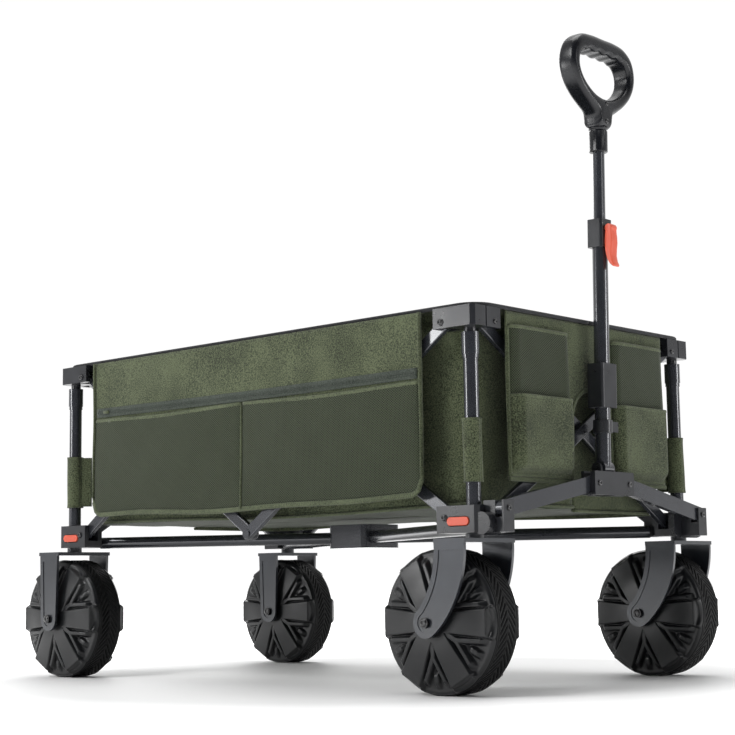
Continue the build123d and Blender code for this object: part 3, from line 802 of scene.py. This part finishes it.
def side_panel(side):
    """Panel with its zip, two mesh pockets, bindings and pulls."""
    body = body_with(f"top_bracket_rear_{side}")
    s = SIDES[side]

    def back_at(u, v):
        x = PANEL_HALF * (2 * u - 1)
        z = PANEL_FOOT + (PANEL_TOP - PANEL_FOOT) * v
        return panel_plane(side, x, panel_corner(x, z), 0.0)

    back = sheet_piece(f"side_panel_{side}_cloth", back_at, 140, 46, OLIVE, 0.0022)
    crumple(back, body)
    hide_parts(f"side_panel_{side}")

    for name, x0, x1 in (("rear", -PANEL_HALF + 0.003, -0.0015), ("front", 0.0015, PANEL_HALF - 0.003)):

        def pocket_at(u, v, x0=x0, x1=x1):
            x = x0 + (x1 - x0) * u
            low = panel_corner(x, PANEL_FOOT) + 0.003
            top = POCKET_TOP - 0.0045 * sin(pi * u) ** 1.5
            z = low + (top - low) * v
            belly = sin(pi * u) ** 0.55 * (1 - (1 - v) ** 3) ** 0.8
            belly = belly * (1 - 0.30 * v**4)
            return panel_plane(side, x, z, 0.0016 + 0.0095 * belly + 0.0006 * wave(16 * x, 21 * z, 4 + s))

        pocket = sheet_piece(f"side_pocket_{side}_{name}", pocket_at, 90, 34, MESH, 0.0014)
        crumple(pocket, body)
        edge = [pocket_at(i / 60, 1.0) for i in range(61)]
        tape = tube_along(f"pocket_hem_{side}_{name}", edge, 0.0034, BINDING, False, 10, 0.45)
        crumple(tape, body)

    border = [back_at(0, 1 - i / 24) for i in range(25)]
    border += [back_at(i / 120, 0) for i in range(1, 120)]
    border += [back_at(1, i / 24) for i in range(25)]
    border = [(x, y + s * 0.0022, z) for x, y, z in border]
    band = tube_along(f"panel_binding_{side}", border, 0.0042, BINDING, False, 12, 0.5)
    crumple(band, body)

    seam = [panel_plane(side, 0, panel_foot(0) + (POCKET_TOP - panel_foot(0)) * i / 24, 0.0028) for i in range(25)]
    middle_seam = tube_along(f"pocket_seam_{side}", seam, 0.0034, BINDING, False, 10, 0.6)
    crumple(middle_seam, body)

    def tape_at(u, v):
        x = (PANEL_HALF - 0.006) * (2 * u - 1)
        z = ZIP_LOW + (ZIP_HIGH - ZIP_LOW) * v - 0.002 * sin(pi * u)
        ridge = 0.0016 * np.exp(-(((v - 0.5) / 0.16) ** 2))
        return panel_plane(side, x, z, 0.0018 + ridge)

    tape = sheet_piece(f"zip_tape_{side}", tape_at, 120, 13, ZIP_TAPE, 0.0012)
    crumple(tape, body)
    teeth(side, body)
    for k, (x, z) in enumerate(((-0.346, 0.4635), (-0.331, 0.4470))):
        pull = zip_pull(f"zip_pull_{side}_{k}", panel_plane(side, x, z, 0.0062))
        crumple(pull, body)


def teeth(side, body):
    """Coil of a zip, as one row of small teeth."""
    s = SIDES[side]
    verts, faces = [], []
    count = 250
    for i in range(count):
        x = (PANEL_HALF - 0.012) * (2 * i / (count - 1) - 1)
        z = (ZIP_LOW + ZIP_HIGH) / 2 - 0.002 * cos(pi * x / (2 * PANEL_HALF))
        px, py, pz = panel_plane(side, x, z, 0.0046)
        tall = 0.0017 if i % 2 else 0.0021
        for dz in (-1, 1):
            for dx, dy in ((-1, -1), (1, -1), (1, 1), (-1, 1)):
                verts.append((px + dx * 0.0010, py + s * dy * 0.0006, pz + dz * tall))
        b = 8 * i
        faces += [(b, b + 1, b + 2, b + 3), (b + 4, b + 7, b + 6, b + 5), (b, b + 4, b + 5, b + 1)]
        faces += [(b + 1, b + 5, b + 6, b + 2), (b + 2, b + 6, b + 7, b + 3), (b + 3, b + 7, b + 4, b)]
    row = piece(f"zip_teeth_{side}", verts, faces, ZIP_TAPE, False)
    crumple(row, body)


def zip_pull(name, place):
    """Small moulded pull tab."""
    bm = bmesh.new()
    bmesh.ops.create_cube(bm, size=1)
    for v in bm.verts:
        taper = 0.8 if v.co.x < 0 else 1.0
        v.co = Vector((v.co.x * 0.016, v.co.y * 0.0028, v.co.z * 0.0062 * taper))
    bmesh.ops.bevel(bm, geom=bm.edges[:], offset=0.0009, segments=3, affect="EDGES")
    mesh = bpy.data.meshes.new(name)
    bm.to_mesh(mesh)
    bm.free()
    mesh.materials.append(BINDING)
    mesh.shade_smooth()
    obj = bpy.data.objects.new(name, mesh)
    obj.data.transform(Matrix.Translation(place))
    bpy.context.scene.collection.objects.link(obj)
    return obj


# ---------------------------------------------------------------- front panel

FRONT_X = 0.4795
FRONT_HALF = 0.2075
FRONT_FOOT = 0.3065
ARCH_HALF = 0.050
ARCH_SPRING = 0.400
POCKET_INNER = 0.057
POCKET_OUTER = 0.203


def front_at(y, z, out=0.0):
    """A point on the front panel."""
    sway = 0.0012 * wave(11 * y, 9 * z, 3.1)
    return (MID_X + FRONT_X + out + sway, y, z)


def front_panel():
    """Front panel with the arch round the handle, and a mesh pocket and pouch on each side."""
    body = body_with("top_bracket_front_right")

    def edge_z(y):
        if abs(y) >= ARCH_HALF:
            return FRONT_FOOT
        return ARCH_SPRING + (ARCH_HALF**2 - y**2) ** 0.5

    def cloth_at(u, v):
        y = FRONT_HALF * (2 * u - 1)
        low = edge_z(y)
        return front_at(y, low + (PANEL_TOP - low) * v)

    cloth = sheet_piece("front_panel_cloth", cloth_at, 150, 40, OLIVE, 0.0022)
    ride_front(cloth, body)
    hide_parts("front_panel")
    border = [cloth_at(i / 149, 0) for i in range(150)]
    border = [(x + 0.0012, y, z) for x, y, z in border]
    ride_front(tube_along("front_panel_binding", border, 0.0036, BINDING, False, 12, 0.6), body)
    for side, s in SIDES.items():
        front_pocket(side, s, body)


def ride_front(obj, body):
    """Ride on the front body; when the frame folds, give the piece its own mesh copy."""
    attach(obj, body)
    if FOLDS:
        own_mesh(obj)


def front_pocket(side, s, body):
    """Upper mesh pocket and lower pouch with a flat bottom, beside the handle."""
    def column(v_low, v_high, deep, belly_power):
        def at(u, v):
            y = s * (POCKET_INNER + (POCKET_OUTER - POCKET_INNER) * u)
            z = v_low + (v_high - v_low) * v
            side_fold = min(1.0, sin(pi * u) * 3.2) ** 0.6
            lift = smooth(0.0, 0.14, v) if belly_power else 1.0
            return front_at(y, z, 0.0012 + deep * side_fold * lift)

        return at

    mesh_at = column(0.424, 0.530, 0.0085, False)
    mesh = sheet_piece(f"front_mesh_{side}", mesh_at, 40, 30, MESH, 0.0013)
    ride_front(mesh, body)
    pouch_at = column(0.313, 0.428, 0.0168, True)
    pouch = sheet_piece(f"front_pouch_{side}", pouch_at, 48, 36, OLIVE, 0.002)
    ride_front(pouch, body)
    for name, at, v in (("mesh_top", mesh_at, 1.0), ("pouch_top", pouch_at, 1.0), ("pouch_foot", pouch_at, 0.0)):
        edge = [at(i / 40, v) for i in range(41)]
        ride_front(tube_along(f"front_{name}_{side}", edge, 0.0030, BINDING, False, 10, 0.6), body)
    for u in (0.0, 1.0):
        low = [pouch_at(u, i / 20) for i in range(21)]
        high = [mesh_at(u, i / 20) for i in range(21)]
        name = f"front_pocket_edge_{side}_{'inner' if u == 0 else 'outer'}"
        ride_front(tube_along(name, low + high[1:], 0.0026, BINDING, False, 10, 0.8), body)


# ---------------------------------------------------------------- post sleeves


SLEEVE_LOW = 0.300
SLEEVE_HEIGHT = 0.0915


def post_sleeve(end, side):
    """Fabric loop round a post, with a flap back to the tub's corner."""
    centre = POST[(end, side)]
    e, s = ENDS[end], SIDES[side]

    def loop_at(u, v):
        z = SLEEVE_LOW + SLEEVE_HEIGHT * v
        a = tau * u
        r = 0.0131 + 0.0006 * sin(3 * a + 40 * z) + 0.0009 * (abs(2 * v - 1) ** 10)
        return (centre.x + r * cos(a), centre.y + r * sin(a), z)

    loop = sheet_piece(f"post_sleeve_{end}_{side}", loop_at, 40, 24, OLIVE, 0.0014)
    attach(loop, body_with(f"post_{end}_{side}"))
    if end == "rear" and side == "right":
        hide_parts("post_sleeves")

    def flap_at(u, v):
        x = centre.x - e * (0.0128 + 0.014 * u)
        y = centre.y - s * (0.004 + 0.013 * u)
        return (x, y, SLEEVE_LOW + 0.002 + 0.088 * v)

    flap = sheet_piece(f"post_flap_{end}_{side}", flap_at, 8, 14, OLIVE, 0.0016)
    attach(flap, body_with(f"post_{end}_{side}"))


# ---------------------------------------------------------------- stage


def area_light(name, place, target, size, power):
    """A soft square light that faces a target."""
    data = bpy.data.lights.new(name, "AREA")
    data.size = size
    data.energy = power
    obj = bpy.data.objects.new(name, data)
    obj.location = place
    obj.rotation_euler = (Vector(target) - Vector(place)).to_track_quat("-Z", "Y").to_euler()
    bpy.context.scene.collection.objects.link(obj)


def build_stage():
    """Pale floor, soft lights and a bright surround."""
    floor = piece("floor", [(-14, -14, 0), (14, -14, 0), (14, 14, 0), (-14, 14, 0)], [(0, 1, 2, 3)], floor_material())
    build_world()
    target = (MID_X, 0, 0.35)
    area_light("key", (-0.4, -2.6, 2.4), target, 1.2, 54)
    area_light("front_fill", (3.2, 0.3, 1.6), target, 1.0, 8)
    area_light("left_box", (-1.9, -2.9, 0.85), target, 0.7, 22)
    area_light("right_box", (3.3, 1.5, 0.85), target, 0.7, 18)
    area_light("top", (0.2, 0.2, 3.6), target, 2.0, 44)
    area_light("rim", (-2.6, 2.2, 2.4), target, 1.6, 30)


def build_world():
    """A bright backdrop behind the wagon and a dimmer room elsewhere."""
    world = bpy.data.worlds.new("surround")
    bpy.context.scene.world = world
    world.use_nodes = True
    tree = world.node_tree
    place = add(tree, "ShaderNodeTexCoord")
    dot = add(tree, "ShaderNodeVectorMath", operation="DOT_PRODUCT")
    dot.inputs[1].default_value = (-0.66, 0.72, 0.20)
    tree.links.new(place.outputs["Generated"], dot.inputs[0])
    fac = math_node(tree, "MULTIPLY", math_node(tree, "ADD", dot.outputs["Value"], 1.0), 0.5)
    colour = ramp(tree, fac, ((0.34, (0.05, 0.052, 0.055)), (0.84, (1.0, 1.0, 1.0))))
    tree.links.new(colour, tree.nodes["Background"].inputs["Color"])
    tree.nodes["Background"].inputs["Strength"].default_value = 1.02


def floor_material():
    """White studio floor, which runs out into the backdrop's white."""
    mat, tree, shader = new_material("studio_floor")
    tone = ramp(tree, noise(tree, 2.0), ((0.3, (0.86, 0.86, 0.86)), (0.7, (0.89, 0.89, 0.89))))
    tree.links.new(tone, shader.inputs["Base Color"])
    shader.inputs["Roughness"].default_value = 0.55
    place = add(tree, "ShaderNodeTexCoord")
    length = add(tree, "ShaderNodeVectorMath", operation="LENGTH")
    tree.links.new(place.outputs["Object"], length.inputs[0])
    far = ramp(tree, math_node(tree, "MULTIPLY", length.outputs["Value"], 0.5), ((0.30, (0, 0, 0)), (0.62, (1, 1, 1))))
    tree.links.new(far, shader.inputs["Emission Color"])
    shader.inputs["Emission Strength"].default_value = 1.0
    return mat


def build_camera():
    """The camera, low and in front of the wagon's right front corner."""
    azimuth, elevation, roll = radians(42.607), radians(-7.452), radians(-0.826)
    back = Vector((sin(azimuth) * cos(elevation), -cos(azimuth) * cos(elevation), sin(elevation)))
    right = Vector((cos(azimuth), sin(azimuth), 0))
    up = back.cross(right)
    right, up = cos(roll) * right + sin(roll) * up, cos(roll) * up - sin(roll) * right
    data = bpy.data.cameras.new("camera")
    data.lens = 79.0
    data.clip_start = 0.05
    camera = bpy.data.objects.new("camera", data)
    turn = Matrix((right, up, back)).transposed().to_4x4()
    camera.matrix_world = Matrix.Translation((1.9107 + MID_X, -2.0624, 0.1660)) @ turn
    bpy.context.scene.collection.objects.link(camera)
    bpy.context.scene.camera = camera


build_camera()
build_stage()
bpy.context.scene.view_settings.view_transform = "Standard"
finish_nodes()
build_wheels()
build_grip()
build_lever()
build_screws()
build_bed()
for one_side in SIDES:
    tub_half(one_side)
    side_panel(one_side)
front_panel()
for one_end in ENDS:
    for one_side in SIDES:
        post_sleeve(one_end, one_side)
